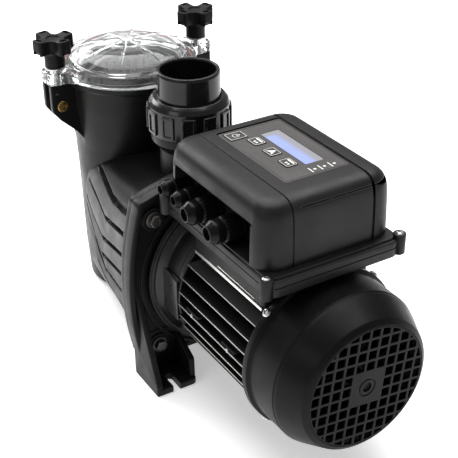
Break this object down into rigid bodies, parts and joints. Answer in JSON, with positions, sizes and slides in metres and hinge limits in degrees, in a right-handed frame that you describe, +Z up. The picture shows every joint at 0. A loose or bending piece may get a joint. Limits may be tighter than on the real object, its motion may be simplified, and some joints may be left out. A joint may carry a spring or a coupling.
{
  "type": "pool pump",
  "caption": "Self-priming pool pump with a strainer pot under a clear screw-down lid, a union outlet on top, a finned motor on a footed bracket and a keypad speed controller.",
  "frame": {"origin": "on the ground under the middle of the pump, halfway between the fan grille and the far edge of the lid, in the plane of the motor shaft", "axes": "+Z up; +X along the motor shaft from the fan to the suction port; +Y towards the cable glands"},
  "size_m": [0.584, 0.246, 0.352],
  "materials": {
    "housing_black": "satin moulded",
    "wet_end_black": "moulded",
    "union_black": "satin moulded",
    "knob_black": "moulded",
    "lid_clear": "clear polished",
    "seal_rubber": "matte",
    "seal_red": "matte",
    "ceramic": "ground",
    "carbon": "lapped",
    "stainless": "bright",
    "shaft_steel": "ground",
    "core_steel": "laminated",
    "brass": "turned",
    "basket_plastic": "moulded",
    "motor_black": "painted",
    "fan_cover_black": "satin moulded",
    "case_charcoal": "fine texture",
    "keypad_grey": "fine texture",
    "key_grey": "fine texture",
    "display_blue": "polished",
    "board_green": "lacquered",
    "gland_black": "gloss moulded"
  },
  "bodies": {
    "root": {"pump_housing": "housing_black", "casing_cover": "housing_black", "casing_o_ring": "seal_rubber", "seal_seat": "ceramic", "diffuser": "wet_end_black", "motor_bracket": "housing_black", "flange_bolt_1": "stainless", "flange_bolt_2": "stainless", "flange_bolt_3": "stainless", "flange_bolt_4": "stainless", "lid_o_ring": "seal_red", "barrel_nut_left": "brass", "barrel_nut_right": "brass", "discharge_o_ring": "seal_rubber", "motor_frame": "motor_black", "front_end_shield": "motor_black", "rear_end_shield": "motor_black", "stator_core": "core_steel", "front_bearing": "shaft_steel", "rear_bearing": "shaft_steel", "fan_cover": "fan_cover_black", "fan_cover_screw_1": "stainless", "fan_cover_screw_2": "stainless", "fan_cover_screw_3": "stainless", "fan_cover_screw_4": "stainless", "controller_pedestal": "case_charcoal", "controller_tray": "case_charcoal", "controller_cover": "case_charcoal", "keypad_panel": "keypad_grey", "display_window": "display_blue", "control_board": "board_green", "gland_body_1": "gland_black", "gland_body_2": "gland_black", "gland_body_3": "gland_black", "gland_body_4": "gland_black", "gland_cap_1": "gland_black", "gland_cap_2": "gland_black", "gland_cap_3": "gland_black", "gland_cap_4": "gland_black"},
    "rotor": {"motor_shaft": "shaft_steel", "rotor_core": "core_steel", "cooling_fan": "wet_end_black", "impeller": "wet_end_black", "seal_head": "carbon"},
    "lid": {"lid": "lid_clear"},
    "washer_left": {"knob_washer_left": "stainless"},
    "knob_left": {"knob_left": "knob_black", "stud_left": "stainless"},
    "washer_right": {"knob_washer_right": "stainless"},
    "knob_right": {"knob_right": "knob_black", "stud_right": "stainless"},
    "basket": {"strainer_basket": "basket_plastic"},
    "tail": {"discharge_tail": "union_black"},
    "union_nut": {"discharge_union_nut": "union_black"},
    "drain_seal": {"drain_seal": "seal_rubber"},
    "drain_plug": {"drain_plug": "knob_black"},
    "key_power": {"key_power": "key_grey"},
    "key_down": {"key_down": "key_grey"},
    "key_menu": {"key_menu": "key_grey"},
    "key_up": {"key_up": "key_grey"}
  },
  "joints": [
    {"name": "rotor_spin", "type": "hinge", "parent": "root", "child": "rotor", "pos_m": [0, 0, 0.125], "axis": [1, 0, 0], "continuous": true},
    {"name": "lid_lift", "type": "slide", "parent": "root", "child": "lid", "axis": [0, 0, 1], "range_m": [0, 0.22]},
    {"name": "left_washer_lift", "type": "slide", "parent": "lid", "child": "washer_left", "axis": [0, 0, 1], "range_m": [0, 0.0225]},
    {"name": "left_knob_turn", "type": "hinge", "parent": "washer_left", "child": "knob_left", "pos_m": [0.207, 0.097, 0.3], "axis": [0, 0, 1], "range_deg": [0, 5400]},
    {"name": "right_washer_lift", "type": "slide", "parent": "lid", "child": "washer_right", "axis": [0, 0, 1], "range_m": [0, 0.0225]},
    {"name": "right_knob_turn", "type": "hinge", "parent": "washer_right", "child": "knob_right", "pos_m": [0.207, -0.097, 0.3], "axis": [0, 0, 1], "range_deg": [0, 5400]},
    {"name": "basket_lift", "type": "slide", "parent": "root", "child": "basket", "axis": [0, 0, 1], "range_m": [0, 0.1325]},
    {"name": "tail_lift", "type": "slide", "parent": "root", "child": "tail", "axis": [0, 0, 1], "range_m": [0, 0.028]},
    {"name": "union_nut_turn", "type": "hinge", "parent": "tail", "child": "union_nut", "pos_m": [0.054, 0, 0.29], "axis": [0, 0, 1], "range_deg": [0, 2520]},
    {"name": "drain_seal_out", "type": "slide", "parent": "root", "child": "drain_seal", "axis": [1, 0, 0], "range_m": [0, 0.0105]},
    {"name": "drain_plug_turn", "type": "hinge", "parent": "drain_seal", "child": "drain_plug", "pos_m": [0.28, 0, 0.03], "axis": [1, 0, 0], "range_deg": [0, 2520]},
    {"name": "key_power_press", "type": "slide", "parent": "root", "child": "key_power", "axis": [0, 0, -1], "range_m": [0, 0.0006], "stiffness_N_per_m": 800},
    {"name": "key_down_press", "type": "slide", "parent": "root", "child": "key_down", "axis": [0, 0, -1], "range_m": [0, 0.0006], "stiffness_N_per_m": 800},
    {"name": "key_menu_press", "type": "slide", "parent": "root", "child": "key_menu", "axis": [0, 0, -1], "range_m": [0, 0.0006], "stiffness_N_per_m": 800},
    {"name": "key_up_press", "type": "slide", "parent": "root", "child": "key_up", "axis": [0, 0, -1], "range_m": [0, 0.0006], "stiffness_N_per_m": 800}
  ],
  "couplings": [
    {"joint": "left_knob_turn", "follows": "left_washer_lift", "rad_per_m": 4188.8},
    {"joint": "right_knob_turn", "follows": "right_washer_lift", "rad_per_m": 4188.8},
    {"joint": "basket_lift", "follows": "lid_lift", "ratio": 0.6},
    {"joint": "union_nut_turn", "follows": "tail_lift", "rad_per_m": 1570.8},
    {"joint": "drain_plug_turn", "follows": "drain_seal_out", "rad_per_m": 4188.8}
  ]
}
